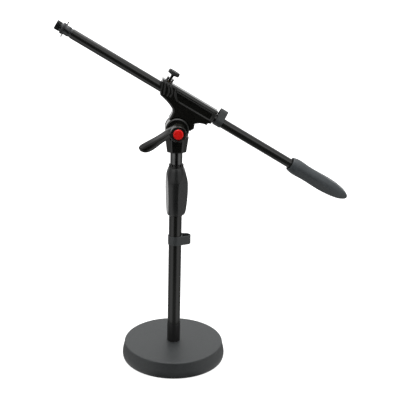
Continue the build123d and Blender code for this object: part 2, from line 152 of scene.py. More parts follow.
def curve(points, steps):
    """A smooth curve through points, with steps points between each pair."""
    last = len(points) - 1
    out = []
    for i in range(last):
        p0, p1, p2, p3 = (Vector(points[min(max(i + k, 0), last)]) for k in (-1, 0, 1, 2))
        for s in range(steps):
            t = s / steps
            a = -p0 + 3 * p1 - 3 * p2 + p3
            b = 2 * p0 - 5 * p1 + 4 * p2 - p3
            out.append(tuple(0.5 * (2 * p1 + (p2 - p0) * t + b * t * t + a * t * t * t)))
    out.append(tuple(points[last]))
    return out


def joined(solids):
    """Several solids in one list of points and faces."""
    points, faces = [], []
    for more_points, more_faces in solids:
        start = len(points)
        points.extend(more_points)
        faces.extend(tuple(start + i for i in face) for face in more_faces)
    return points, faces


def mesh_of(name, solid):
    """A Blender mesh with its faces turned outwards."""
    mesh = bpy.data.meshes.new(name)
    mesh.from_pydata(solid[0], [], solid[1])
    bm = bmesh.new()
    bm.from_mesh(mesh)
    bmesh.ops.remove_doubles(bm, verts=bm.verts, dist=1e-5)
    bmesh.ops.recalc_face_normals(bm, faces=bm.faces)
    bm.to_mesh(mesh)
    bm.free()
    return mesh


def helper(name, solid):
    """An object that is only used while another is made."""
    obj = bpy.data.objects.new(name, mesh_of(name, solid))
    bpy.context.scene.collection.objects.link(obj)
    return obj


def discard(obj):
    """Remove a helper and its mesh."""
    mesh = obj.data
    bpy.data.objects.remove(obj)
    bpy.data.meshes.remove(mesh)


def moulded(parts, cutters, voxel, passes):
    """One moulding from overlapping parts less the cutters, with every edge rounded."""
    whole = helper("moulding_core", joined(parts))
    knife = helper("moulding_knife", joined(cutters))
    cut = whole.modifiers.new("cut", "BOOLEAN")
    cut.operation = "DIFFERENCE"
    cut.solver = "EXACT"
    cut.use_self = True
    cut.object = knife
    remesh = whole.modifiers.new("remesh", "REMESH")
    remesh.mode = "VOXEL"
    remesh.voxel_size = voxel
    smooth = whole.modifiers.new("smooth", "SMOOTH")
    smooth.factor = 0.5
    smooth.iterations = passes
    bpy.context.view_layer.update()
    result = whole.evaluated_get(bpy.context.evaluated_depsgraph_get()).to_mesh()
    points = [tuple(v.co) for v in result.vertices]
    faces = [tuple(p.vertices) for p in result.polygons]
    discard(whole)
    discard(knife)
    return points, faces


def piece(name, solid, place, finish, node, sharp):
    """Put a solid in the row frame in place of a CAD node, on that node's body.

    Edges that turn by more than sharp degrees stay crisp; zero keeps every edge soft.
    """
    mesh = mesh_of(name, solid)
    mesh.transform(place)
    mesh.shade_smooth()
    if sharp:
        mesh.set_sharp_from_angle(angle=math.radians(sharp))
    mesh.materials.append(finish)
    obj = bpy.data.objects.new(name, mesh)
    bpy.context.scene.collection.objects.link(obj)
    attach(obj, node_body[node])
    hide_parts(node)


# ---------------------------------------------------------------- materials


class Nodes:
    """A node tree that is built up step by step."""

    def __init__(self, tree):
        self.tree = tree

    def node(self, kind, **values):
        """Add a node and set its inputs and properties."""
        node = self.tree.nodes.new(kind)
        for key, value in values.items():
            if key in node.inputs:
                self.feed(node.inputs[key], value)
            else:
                setattr(node, key, value)
        return node

    def feed(self, socket, value):
        """Link an output into a socket, or set the socket's own value."""
        if isinstance(value, bpy.types.NodeSocket):
            self.tree.links.new(value, socket)
        else:
            socket.default_value = value

    def value(self, number):
        """A constant as an output."""
        node = self.tree.nodes.new("ShaderNodeValue")
        node.outputs[0].default_value = number
        return node.outputs[0]

    def math(self, operation, a, b=0.0):
        """A sum, product or other operation of two values."""
        node = self.node("ShaderNodeMath", operation=operation)
        self.feed(node.inputs[0], a)
        self.feed(node.inputs[1], b)
        return node.outputs[0]

    def ramp(self, value, low, high, to_low, to_high):
        """A value's range spread over another range."""
        node = self.node("ShaderNodeMapRange")
        for index, number in enumerate((value, low, high, to_low, to_high)):
            self.feed(node.inputs[index], number)
        return node.outputs[0]


class Finish(Nodes):
    """A node material: a colour and a roughness, each multiplied by its own variation, and a bump."""

    def __init__(self, name, colour, roughness, metallic=0.0):
        self.material = bpy.data.materials.new(name)
        self.material.use_nodes = True
        super().__init__(self.material.node_tree)
        self.shader = self.tree.nodes["Principled BSDF"]
        self.shader.inputs["Metallic"].default_value = metallic
        self.place = self.node("ShaderNodeTexCoord").outputs["Object"]
        self.shade = self.value(1.0)
        self.gloss = self.value(1.0)
        self.height = self.value(0.0)
        self.colour = colour
        self.roughness = roughness
        self.depth = 0.0

    def noise(self, size, detail=3.0, stretch=None):
        """Noise with features of a size in millimetres, drawn out along an axis by stretch."""
        place = self.place
        if stretch:
            place = self.node("ShaderNodeMapping", Vector=place, Scale=stretch).outputs[0]
        node = self.node("ShaderNodeTexNoise", Vector=place, Scale=1 / (size * MM), Detail=detail)
        return node.outputs["Fac"]

    def vary(self, value, shade=0.0, gloss=0.0):
        """Darken or lighten, and roughen or polish, where a noise value is low or high."""
        if shade:
            lighter = self.ramp(value, 0.3, 0.7, 1 - shade, 1 + shade)
            self.shade = self.math("MULTIPLY", self.shade, lighter)
        if gloss:
            rougher = self.ramp(value, 0.3, 0.7, 1 - gloss, 1 + gloss)
            self.gloss = self.math("MULTIPLY", self.gloss, rougher)

    def emboss(self, value, depth):
        """Add a relief of a depth in millimetres."""
        self.height = self.math("ADD", self.height, self.math("MULTIPLY", value, depth * MM))
        self.depth += depth

    def wear_and_highlight_edges(self, lighten, start=0.51, end=0.56):
        """Lighten the convex edges of a finely meshed piece, unevenly: partly edge wear, partly a painted
        highlight along the edges.
        """
        point = self.node("ShaderNodeNewGeometry").outputs["Pointiness"]
        edge = self.ramp(point, start, end, 0.0, 1.0)
        patch = self.ramp(self.noise(3.0, 4.0), 0.4, 0.65, 0.25, 1.0)
        gain = self.math("MULTIPLY", self.math("MULTIPLY", edge, patch), lighten)
        self.shade = self.math("MULTIPLY", self.shade, self.math("ADD", gain, 1.0))

    def done(self, **extra):
        """Join everything to the shader."""
        tint = self.node("ShaderNodeMix", data_type="RGBA", blend_type="MULTIPLY")
        tint.inputs[0].default_value = 1.0
        tint.inputs[6].default_value = (*self.colour, 1.0)
        grey = self.node("ShaderNodeCombineColor", Red=self.shade, Green=self.shade, Blue=self.shade)
        self.feed(tint.inputs[7], grey.outputs[0])
        self.feed(self.shader.inputs["Base Color"], tint.outputs[2])
        rough = self.math("MULTIPLY", self.gloss, self.roughness)
        self.feed(self.shader.inputs["Roughness"], rough)
        if self.depth:
            bump = self.node("ShaderNodeBump", Height=self.height, Strength=1.0, Distance=1.0)
            self.feed(self.shader.inputs["Normal"], bump.outputs[0])
        for key, value in extra.items():
            self.shader.inputs[key.replace("_", " ")].default_value = value
        return self.material


def powder_coat(name, colour, roughness):
    """Semi-gloss powder coat on steel: fine orange peel and a faint mottle."""
    f = Finish(name, colour, roughness)
    f.vary(f.noise(22, 3), shade=0.10, gloss=0.10)
    f.vary(f.noise(0.35, 2), shade=0.10, gloss=0.12)
    f.emboss(f.noise(1.3, 2), 0.0025)
    return f.done()


def cast_coat(name, colour, roughness):
    """Textured matte coat on a sand casting: pebbled, with light specks and dull patches."""
    f = Finish(name, colour, roughness)
    f.vary(f.noise(34, 4), shade=0.09, gloss=0.06)
    pebble = f.noise(0.9, 5)
    f.vary(pebble, shade=0.20, gloss=0.16)
    f.vary(f.noise(2.6, 3), shade=0.15, gloss=0.10)
    speck = f.ramp(f.noise(0.45, 2), 0.62, 0.74, 0.0, 0.5)
    f.shade = f.math("MULTIPLY", f.shade, f.math("ADD", speck, 1.0))
    f.emboss(pebble, 0.045)
    f.emboss(f.noise(5.5, 3), 0.05)
    return f.done()


def nylon(name, colour, roughness, edge_wear_and_highlight=0.0):
    """Glass-filled nylon: satin, spark-eroded grain, and convex edges lightened, partly as wear and partly as a
    painted highlight.
    """
    f = Finish(name, colour, roughness)
    f.vary(f.noise(14, 4), shade=0.12, gloss=0.10)
    grain = f.noise(0.22, 4)
    f.vary(grain, shade=0.14, gloss=0.12)
    f.emboss(grain, 0.006)
    f.emboss(f.noise(2.4, 2), 0.008)
    # Lighter convex edges: partly wear, partly a painted highlight.
    if edge_wear_and_highlight:
        f.wear_and_highlight_edges(edge_wear_and_highlight)
    return f.done()


def soft_rubber(name, colour, roughness, edge_wear_and_highlight=0.0):
    """Moulded rubber: matte with a dusty sheen and a fine skin, and convex edges lightened, partly as wear and
    partly as a painted highlight.
    """
    f = Finish(name, colour, roughness)
    f.vary(f.noise(11, 5), shade=0.13, gloss=0.08)
    skin_grain = f.noise(0.3, 5)
    f.vary(skin_grain, shade=0.12, gloss=0.10)
    f.emboss(skin_grain, 0.016)
    f.emboss(f.noise(1.6, 3), 0.012)
    # Lighter convex edges: partly wear, partly a painted highlight.
    if edge_wear_and_highlight:
        f.wear_and_highlight_edges(edge_wear_and_highlight)
    return f.done(Sheen_Weight=0.06, Sheen_Roughness=0.6)


def turned_metal(name, colour, roughness, stretch=(1, 1, 12), size=2.0):
    """Turned or drawn metal: fine lines across the stretch, stains and small scratches."""
    f = Finish(name, colour, roughness, metallic=1.0)
    lines = f.noise(size, 4, stretch=stretch)
    f.vary(lines, shade=0.12, gloss=0.25)
    f.vary(f.noise(7, 4), shade=0.14, gloss=0.15)
    f.emboss(lines, 0.0012)
    return f.done()


def gloss_plastic(name, colour, roughness):
    """Glossy injection-moulded plastic: faint flow marks and hairline scratches."""
    f = Finish(name, colour, roughness)
    f.vary(f.noise(4, 3), shade=0.07, gloss=0.20)
    f.vary(f.noise(0.5, 4, stretch=(1, 1, 6)), shade=0.03, gloss=0.15)
    f.emboss(f.noise(1.2, 2), 0.006)
    return f.done()


def pressed_fibre(name, colour, roughness):
    """Pressed fibre sheet: brown, with short dark and light fibres."""
    f = Finish(name, colour, roughness)
    fibres = f.noise(0.6, 5, stretch=(3, 1, 1))
    f.vary(fibres, shade=0.35, gloss=0.10)
    f.emboss(fibres, 0.03)
    return f.done()


coat = powder_coat("black_powder_coat", (0.0115, 0.0119, 0.0108), 0.19)
casting = cast_coat("textured_casting_coat", (0.030, 0.033, 0.034), 0.50)
# The edge setting on the nylons and rubbers below lightens convex edges: partly wear, partly a painted highlight
# where edges catch light.
head_nylon = nylon("satin_black_nylon", (0.0062, 0.0062, 0.0050), 0.24, edge_wear_and_highlight=2.0)
plain_nylon = nylon("black_nylon", (0.010, 0.010, 0.010), 0.34)
clip_nylon = nylon("grey_nylon", (0.046, 0.050, 0.051), 0.46, edge_wear_and_highlight=0.5)
knob_nylon = nylon("knob_nylon", (0.017, 0.018, 0.018), 0.42, edge_wear_and_highlight=0.6)
grip_rubber = soft_rubber("grey_grip_rubber", (0.050, 0.058, 0.063), 0.46, edge_wear_and_highlight=0.25)
clutch_rubber = soft_rubber("clutch_rubber", (0.010, 0.011, 0.011), 0.30, edge_wear_and_highlight=0.5)
foot_rubber = soft_rubber("black_foot_rubber", (0.022, 0.022, 0.022), 0.75)
button_red = gloss_plastic("red_button_plastic", (0.96, 0.009, 0.006), 0.24)
acetal = gloss_plastic("white_acetal", (0.62, 0.62, 0.58), 0.40)
zinc_steel = turned_metal("zinc_plated_steel", (0.56, 0.56, 0.54), 0.32)
bolt_steel = turned_metal("pivot_steel", (0.40, 0.40, 0.40), 0.34, stretch=(1, 12, 1))
dark_steel = turned_metal("black_oxide_steel", (0.055, 0.056, 0.058), 0.36)
thread_steel = turned_metal("thread_steel", (0.070, 0.072, 0.074), 0.36, stretch=(12, 1, 12))
black_chrome = turned_metal("black_chrome", (0.110, 0.112, 0.112), 0.22)
brass = turned_metal("turned_brass", (0.66, 0.47, 0.20), 0.30)
fibre = pressed_fibre("dark_fibre", (0.045, 0.040, 0.034), 0.80)

NODE_FINISH = {
    "base_casting": casting,
    "rubber_base_ring": foot_rubber,
    "base_bolt": zinc_steel,
    "base_washer": zinc_steel,
    "lower_tube": coat,
    "tube_foot_plug": zinc_steel,
    "tube_foot_sleeve": plain_nylon,
    "clutch_core": plain_nylon,
    "clutch_collet": acetal,
    "clutch_barrel": plain_nylon,
    "clutch_grip_cover": clutch_rubber,
    "clutch_collar": plain_nylon,
    "upper_tube": coat,
    "tube_guide_bush": acetal,
    "tube_head_plug": dark_steel,
    "tube_ferrule": black_chrome,
    "ferrule_screw": dark_steel,
    "swivel_knuckle": head_nylon,
    "knuckle_set_screw": dark_steel,
    "pivot_bolt": bolt_steel,
    "friction_washers": fibre,
    "front_washer": bolt_steel,
    "clamping_lever": head_nylon,
    "lever_nut": bolt_steel,
    "lever_screw": bolt_steel,
    "lever_spring": bolt_steel,
    "lever_button": button_red,
    "boom_clamp_body": head_nylon,
    "clamp_bushes": plain_nylon,
    "clamp_thread_insert": brass,
    "pressure_pad": acetal,
    "thumb_knob": knob_nylon,
    "thumb_screw": dark_steel,
    "boom_tube": coat,
    "boom_end_plug": thread_steel,
    "thread_lock_ring": dark_steel,
    "lock_ring_pins": dark_steel,
    "grip_cover": grip_rubber,
    "counterweight": zinc_steel,
    "tube_cable_clip": clip_nylon,
    "boom_cable_clip": clip_nylon,
}
for node_name, node_finish in NODE_FINISH.items():
    slots = nodes[node_name].data.materials
    slots.clear()
    slots.append(node_finish)

# ---------------------------------------------------------------- height clutch

SCOOP_HEADINGS = (-172, -35, 76)
SCOOP_DISTANCE = 15.2
SCOOP_LEAN = math.tan(math.radians(1.5))


def soft_minimum(a, b, blend):
    """The smaller of two values, rounded where they cross."""
    h = max(0.0, min(1.0, 0.5 + 0.5 * (b - a) / blend))
    return b + (a - b) * h - blend * h * (1 - h)


def clutch_moulding():
    """Barrel grip with three long flat scoops and soft ridges between them."""
    low, high = span("clutch_grip_cover")
    bottom, top = low.z, high.z
    middle = bottom + 42
    outer = curve([
        (12.6, bottom), (14.6, bottom + 0.5), (16.6, bottom + 3), (18.5, bottom + 10.5),
        (20.4, bottom + 26), (21.1, bottom + 38), (20.9, bottom + 50), (20.2, bottom + 57.7),
        (17.7, bottom + 68), (14.8, top - 4.3), (13.3, top - 0.6), (12.6, top),
    ], 9)
    inner = [(12.3 + 1.6 * math.sin(math.pi * i / 8), top - (top - bottom) * i / 8) for i in range(9)]

    def scooped(angle, r, z):
        """Radius after the flat scoops."""
        if r < 14.0:
            return r
        for heading in SCOOP_HEADINGS:
            facing = math.cos(angle - math.radians(heading))
            if facing > 0.3:
                flat = (SCOOP_DISTANCE + (z - middle) * SCOOP_LEAN) / facing
                r = max(14.0, soft_minimum(r, flat, 0.9))
        return r

    solid = lathe(outer + inner, 168, scooped, closed=True)
    piece("clutch_grip_moulding", solid, WORLD, clutch_rubber, "clutch_grip_cover", sharp=60)


clutch_moulding()


def clutch_collar():
    """Castellated ring with bevelled teeth."""
    low, high = span("clutch_collar")
    radius = high.x
    bore = radius - 2.7
    ring = lathe([
        (bore, low.z), (radius - 0.3, low.z), (radius, low.z + 0.3), (radius, high.z - 3.0),
        (radius - 1.8, high.z - 3.0), (radius - 1.8, high.z - 0.25), (radius - 2.0, high.z),
        (bore, high.z),
    ], 96, closed=True)
    teeth = []
    for index in range(12):
        tooth = []
        for step in range(5):
            angle = math.radians(15 + 30 * index + (step - 2) * 4.3)
            tooth.append((math.cos(angle), math.sin(angle)))
        rings = []
        for height, inset in ((high.z - 3.2, 0), (high.z - 0.35, 0), (high.z, 0.3)):
            inner = [((radius - 1.9) * c, (radius - 1.9) * s, height) for c, s in reversed(tooth)]
            outer = [((radius - inset) * c, (radius - inset) * s, height) for c, s in tooth]
            rings.append(outer + inner)
        teeth.append(skin(rings))
    piece("clutch_collar_ring", joined([ring] + teeth), WORLD, plain_nylon, "clutch_collar", sharp=30)


clutch_collar()

# ---------------------------------------------------------------- boom clamp


def bead(path, radius, y, steps=6):
    """A round bar along an (x, z) path in a plane across Y."""
    line = curve([(x, y, z) for x, z in path], steps)
    rings = []
    for i, point in enumerate(line):
        before, after = Vector(line[max(i - 1, 0)]), Vector(line[min(i + 1, len(line) - 1)])
        run = (after - before).normalized()
        side = Vector((run.z, 0, -run.x))
        ring = []
        for k in range(12):
            angle = math.pi * k / 6
            offset = side * math.cos(angle) + Vector((0, math.sin(angle), 0))
            ring.append(tuple(Vector(point) + offset * radius))
        rings.append(ring)
    return skin(rings)


def clamp_corners(front, rear, top):
    """Corners of the housing's side view, each with the flat flank's corner inside the rounding."""
    return [
        ((front, top), (front + 1.8, top - 4.4)),
        ((front + 9.6, 34.4), (front + 10.8, 37.2)),
        ((-46.0, 33.0), (-44.8, 38.0)), ((-39.1, 31.2), (-37.4, 36.4)),
        ((-31.0, 28.4), (-28.6, 33.2)), ((-24.6, 25.2), (-21.2, 29.0)),
        ((-21.3, 21.8), (-17.4, 23.8)), ((-20.5, 16.0), (-16.8, 16.0)),
        ((-20.5, 8.0), (-17.0, 10.4)), ((-19.2, 7.4), (-16.2, 10.2)),
        ((18.6, 7.9), (16.4, 10.4)), ((19.7, 8.4), (17.6, 10.8)),
        ((23.0, 15.2), (19.8, 15.4)), ((19.9, 22.6), (17.6, 23.4)),
        ((26.1, 27.4), (24.0, 29.8)), ((32.6, 29.8), (31.0, 33.0)),
        ((37.5, 30.4), (35.4, 33.8)), ((38.1, 34.4), (36.6, 36.4)),
        ((rear, 35.8), (rear - 2.6, 37.8)), ((rear, top), (rear - 2.6, top - 4.6)),
    ]


def rounded_plate(corners, half, depth):
    """A plate across Y that shrinks from its outer to its inner corners over a rounded edge."""
    rings = []
    for side in (-1, 1):
        steps = range(6, -1, -1) if side < 0 else range(7)
        for step in steps:
            angle = math.pi / 2 * step / 6
            share = 1 - math.cos(angle)
            y = side * (half - depth + depth * math.sin(angle))
            ring = []
            for outer, inner in corners:
                x = outer[0] + (inner[0] - outer[0]) * share
                z = outer[1] + (inner[1] - outer[1]) * share
                ring.append((x, y, z))
            rings.append(ring)
    return skin(rings)


# Paths of the raised beads on each flank: four short ribs at the front, then the panel's front
# edge and the two lines that follow its top and rear.
RIBS = (
    ((-60.4, 56.0), (-58.6, 49.5), (-56.2, 43.0), (-53.4, 37.0)),
    ((-55.8, 55.6), (-53.2, 50.0), (-50.6, 44.0), (-48.4, 38.0)),
    ((-51.2, 55.2), (-47.4, 52.6), (-44.6, 48.6), (-43.0, 43.8), (-42.6, 39.0)),
    ((-46.4, 55.2), (-42.2, 53.2), (-39.2, 49.6), (-37.8, 45.0), (-37.8, 40.0)),
    ((-35.8, 54.6), (-34.4, 50.2), (-31.4, 46.0), (-27.6, 42.6), (-23.4, 40.2)),
    (
        (-33.0, 54.9), (0.0, 54.9), (28.0, 54.9), (34.4, 54.6),
        (38.6, 52.8), (40.8, 49.0), (41.2, 44.0), (41.0, 38.4),
    ),
    (
        (-31.4, 52.3), (0.0, 52.3), (28.0, 52.3), (33.2, 52.0),
        (36.6, 50.4), (38.2, 47.2), (38.4, 43.0), (38.2, 39.4),
    ),
)


def flank_details(side, half):
    """Beads that stand on one flank, and the panel that is cut into it."""
    beads = [bead(path, 0.9, side * (half - 0.1)) for path in RIBS]
    upper = [(-32.4, 51.4), (34.0, 51.2), (36.8, 49.4)]
    floor_edge = upper + [(36.8, 41.2), (-22.4, 41.0), (-25.4, 42.8), (-29.6, 46.2)]
    mouth_edge = upper + [(36.8, 37.6), (-20.0, 37.6), (-24.4, 41.8), (-29.6, 46.2)]
    deep = [(x, side * (half - 1.5), z) for x, z in floor_edge]
    open_side = [(x, side * (half + 2), z) for x, z in mouth_edge]
    return beads, skin([deep, open_side])


def clamp_moulding():
    """Housing that holds the boom: rounded edges, beaded and panelled flanks and a split screw boss."""
    low, high = span("boom_clamp_body", BOOM)
    front, rear, half = low.x, high.x, high.y
    boss_top = high.z
    top = boss_top - 6.5
    screw_station = -50.5
    tongue_half = 8.45
    body = rounded_plate(clamp_corners(front, rear, top), half, 3.2)
    tongue = rod(19.0, -tongue_half, tongue_half, "y", count=96)
    boss = rod(6.2, top - 3, boss_top, at=(screw_station, 0, 0), count=40)
    parts = [body, tongue, boss]
    cutters = [
        rod(20.6, -half - 2, -tongue_half, "y", count=96),
        rod(20.6, tongue_half, half + 2, "y", count=96),
        rod(8.5, front - 5, rear + 5, "x", (0, 0, rise)),
        rod(9.2, -49, -30, "x", (0, 0, rise)),
        rod(9.2, 22, rear + 3, "x", (0, 0, rise)),
        rod(4.2, -20, 20, "y"),
        rod(4.0, rise + 5, top + 3, at=(screw_station, 0, 0), count=32),
        block(screw_station - 2.9, screw_station + 2.9, -8, 8, top + 0.4, boss_top + 1),
    ]
    for side in (-1, 1):
        beads, panel = flank_details(side, half)
        parts.extend(beads)
        cutters.append(panel)
    solid = moulded(parts, cutters, 0.34, 2)
    piece("boom_clamp_moulding", solid, BOOM, head_nylon, "boom_clamp_body", sharp=0)


clamp_moulding()

# ---------------------------------------------------------------- swivel knuckle


def eight_sided(half_x, half_y, bevel_x, bevel_y, z):
    """A ring of eight corners: a rectangle with bevelled corners."""
    x, y = half_x, half_y
    return [
        (x, y - bevel_y, z), (x - bevel_x, y, z), (bevel_x - x, y, z), (-x, y - bevel_y, z),
        (-x, bevel_y - y, z), (bevel_x - x, -y, z), (x - bevel_x, -y, z), (x, bevel_y - y, z),
    ]


def knuckle_moulding():
    """Fork with rimmed discs on a bevelled foot with a flat panel front and back."""
    foot = span("swivel_knuckle", PIVOT)[0].z
    cheek = 17.5
    slot = 9.2
    radius = 19.4
    shoulder = -12.0
    skirt = skin([
        eight_sided(15.9, 14.5, 6.2, 6.2, foot),
        eight_sided(19.3, cheek, 6.6, 6.6, shoulder),
    ])
    panel = skin([
        eight_sided(9.8, 15.7, 2.4, 1.3, foot + 1),
        eight_sided(11.2, cheek + 0.9, 2.6, 1.3, shoulder - 4),
    ])
    rim = [(radius - 2.0, -cheek), (radius, -cheek + 2.0), (radius, cheek - 2.0), (radius - 2.0, cheek)]
    discs = moved(lathe(rim, 96), Z_TO_FRONT)
    nut_place = Matrix.Translation((0, 11.9, 0)) @ Matrix.Rotation(-math.pi / 2, 4, "X")
    nut_pocket = moved(lathe([(7.62, 0), (7.62, 10)], 6), nut_place)
    set_screw = moved(rod(1.55, 4.7, 25, "y", count=24), Matrix.Translation((0, 0, foot + 7)))
    cutters = [
        block(-22, 22, -slot, slot, 0, 30),
        rod(20.4, -slot, slot, "y", count=96),
        rod(radius - 2.3, -cheek - 5, -cheek + 1.5, "y", count=96),
        rod(radius - 2.3, cheek - 1.2, cheek + 5, "y", count=96),
        rod(4.1, -30, 30, "y", count=32),
        rod(6.3, foot - 1, foot + 13.4, count=48),
        nut_pocket,
        set_screw,
    ]
    solid = moulded([skirt, panel, discs], cutters, 0.38, 3)
    piece("swivel_knuckle_moulding", solid, PIVOT, head_nylon, "swivel_knuckle", sharp=0)


knuckle_moulding()

# ---------------------------------------------------------------- clamping lever


# Outline of the handle's section, as shares of its thickness from the front and of its height
# from the top.
LEVER_SECTION = (
    (0.62, 0.0), (0.36, 0.06), (0.12, 0.26), (0.0, 0.47), (0.10, 0.72), (0.34, 0.96),
    (0.6, 1.0), (0.92, 0.96), (1.0, 0.8), (1.0, 0.2), (0.90, 0.03),
)


def lever_section(distance, lower, upper, thick, depth):
    """One ring of the handle: a flat back, and a front creased along its length."""
    front = depth - thick / 2
    return [(distance, front + thick * a, upper + (lower - upper) * b) for a, b in LEVER_SECTION]


def lever_moulding():
    """Hub with a dished rim, and a paddle handle whose upper edge is tangent to the hub."""
    hub_front = 48.0
    hub_back = 20.2
    bore = span("lever_button", PIVOT)[1].x + 0.3
    hub = moved(lathe([
        (11.0, hub_back), (13.0, hub_back + 2), (13.0, hub_front - 1.3), (12.8, hub_front - 0.6),
        (12.3, hub_front - 0.1), (11.9, hub_front - 0.1), (11.4, hub_front - 0.9),
        (10.9, hub_front - 1.2),
        (9.6, hub_front - 1.2), (9.3, hub_front - 0.5), (9.0, hub_front - 0.3), (8.7, hub_front - 0.5),
        (bore, hub_front - 1.0), (bore, 25.0), (6.2, 25.0), (6.2, hub_back),
    ], 96, closed=True), Z_TO_FRONT)
    # Distance from the pivot, lower and upper edge, thickness, and depth of the middle.
    stations = [
        (0, -1.0, -12.6, 23.0, -32.0),
        (7, 0.0, -13.2, 21.0, -32.8),
        (14, 0.5, -13.3, 17.6, -34.2),
        (22, 0.9, -13.2, 14.2, -36.6),
        (30, 1.0, -13.5, 12.2, -38.6),
        (37, 1.8, -13.9, 11.4, -40.0),
        (44, 2.5, -14.4, 10.8, -41.0),
        (51, 2.5, -14.9, 10.0, -41.9),
        (57, 1.3, -15.2, 9.0, -42.6),
        (61.5, -1.2, -15.0, 7.6, -43.0),
        (64.4, -4.6, -13.8, 5.4, -43.2),
        (65.6, -7.0, -12.2, 3.0, -43.3),
    ]
    handle = skin([lever_section(*station) for station in curve(stations, 4)])
    knife = [rod(bore, -60, -25, "y"), rod(6.2, -30, -15, "y")]
    arm = moulded([handle], knife, 0.4, 5)
    whole = joined([hub, arm])
    piece("clamping_lever_moulding", whole, LEVER, head_nylon, "clamping_lever", sharp=38)


lever_moulding()


def button_cap():
    """Red release button with a rounded rim and a shallow crown."""
    low, high = span("lever_button", PIVOT)
    front = -low.y
    back = -high.y
    radius = high.x
    crown = [(radius * (1 - i / 8), front - 0.25 + 0.25 * (1 - (1 - i / 8) ** 2)) for i in range(1, 8)]
    profile = [
        (radius, back), (radius, front - 1.4), (radius - 0.1, front - 1.15),
        (radius - 0.85, front - 0.42), (radius - 1.15, front - 0.28),
    ]
    profile += [(r, z) for r, z in crown if r < radius - 1.2] + [(0.02, front)]
    solid = moved(lathe(profile, 96), Z_TO_FRONT)
    piece("release_button_cap", solid, PIVOT, button_red, "lever_button", sharp=50)


button_cap()

# ---------------------------------------------------------------- thumb screw


def thread_shape(pitch, depth, start, end, fade):
    """Radius changes for a 60 degree screw thread along Z between two heights."""
    def shape(angle, r, z):
        if not start <= z <= end:
            return r
        phase = (z / pitch - angle / (2 * math.pi)) % 1.0
        tooth = max(0.0, min(1.0, (1 - abs(2 * phase - 1)) * 1.25 - 0.12))
        ease = min(1.0, (z - start) / fade, (end - z) / fade)
        return r - depth * (1 - tooth) * ease
    return shape


def thumb_pieces():
    """Fluted knob and its threaded shank."""
    low, high = span("thumb_knob", BOOM)
    station = (low.x + high.x) / 2
    place = BOOM @ Matrix.Translation((station, 0, 0))
    radius = high.x - station
    top = high.z
    bottom = top - 6.6

    def fluted(angle, r, z):
        """Sixteen rounded flutes that fade out at the top and bottom rims."""
        if r < radius - 1.6:
            return r
        wave = max(0.0, math.cos(16 * angle)) ** 1.5
        return r - 0.95 * wave

    head = [
        (2.55, bottom - 1.4), (3.3, bottom - 1.4), (3.7, bottom - 1.0), (3.7, bottom),
        (radius - 1.7, bottom), (radius - 0.7, bottom + 0.15), (radius - 0.2, bottom + 0.6),
        (radius, bottom + 1.2), (radius, bottom + 3.0), (radius, top - 1.2),
        (radius - 0.2, top - 0.55), (radius - 0.8, top - 0.12), (radius - 1.7, top),
        (radius - 2.4, top - 0.1), (radius - 3.0, top - 0.6), (3.0, top - 0.75), (0.03, top - 0.7),
        (0.03, bottom + 3.4), (2.55, bottom + 3.4),
    ]
    knob = lathe(head, 160, fluted, closed=True)
    piece("thumb_knob_moulding", knob, place, knob_nylon, "thumb_knob", sharp=45)

    low, high = span("thumb_screw", BOOM)
    shank_radius = 2.5
    pitch = 0.8
    start, end = low.z, high.z
    rows = int((end - start) / pitch * 10)
    profile = [(0.02, start), (shank_radius - 0.5, start), (shank_radius, start + 0.5)]
    profile += [(shank_radius, start + 0.5 + (end - start - 1) * i / rows) for i in range(1, rows)]
    profile += [(shank_radius - 0.4, end), (0.02, end)]
    shape = thread_shape(pitch, 0.42, start + 0.5, end - 0.5, 0.8)
    shank = lathe(profile, 36, shape)
    piece("thumb_screw_shank", shank, place, dark_steel, "thumb_screw", sharp=0)


thumb_pieces()

# ---------------------------------------------------------------- boom ends


def end_plug():
    """Front plug with a cut 27 threads per inch stud, a seat, a collar and a groove."""
    low, high = span("boom_end_plug", BOOM_AXIS)
    tip = low.z
    rear = high.z
    radius = 7.9375
    pitch = 25.4 / 27
    end = tip + 7.9
    rows = int((end - tip) / pitch * 12)
    profile = [
        (0.02, tip + 0.9), (4.6, tip + 0.9), (5.4, tip + 0.2), (radius - 0.75, tip),
        (radius - 0.1, tip + 0.6),
    ]
    profile += [(radius, tip + 0.6 + (end - tip - 0.6) * i / rows) for i in range(1, rows + 1)]
    profile += [
        (7.1, end + 0.25), (7.1, end + 1.8), (radius, end + 2.1), (radius, end + 8.6), (8.0, end + 8.95),
        (8.0, tip + 24.2), (7.75, tip + 24.6), (7.1, tip + 24.7), (7.1, tip + 27.8), (6.8, tip + 27.9),
        (6.8, rear - 1.0), (6.2, rear), (0.02, rear),
    ]
    shape = thread_shape(pitch, 0.58, tip + 0.6, end, 0.5)
    solid = lathe(profile, 96, shape)
    piece("boom_end_plug_turned", solid, BOOM_AXIS, thread_steel, "boom_end_plug", sharp=32)


end_plug()


def lock_ring():
    """Knurled ring behind the microphone thread."""
    low, high = span("thread_lock_ring", BOOM_AXIS)
    front, rear = low.z, high.z

    def knurled(angle, r, z):
        """Straight knurl round the widest band."""
        if r < 9.0:
            return r
        return r - 0.22 * max(0.0, math.cos(60 * angle))

    profile = [
        (8.0, front), (8.4, front), (8.95, front + 0.9), (9.2, front + 1.5), (9.2, front + 4.1),
        (8.95, front + 4.4), (8.7, front + 4.5), (8.7, rear - 0.3), (8.4, rear), (8.0, rear),
    ]
    solid = lathe(profile, 240, knurled, closed=True)
    piece("lock_ring_turned", solid, BOOM_AXIS, dark_steel, "thread_lock_ring", sharp=32)


lock_ring()


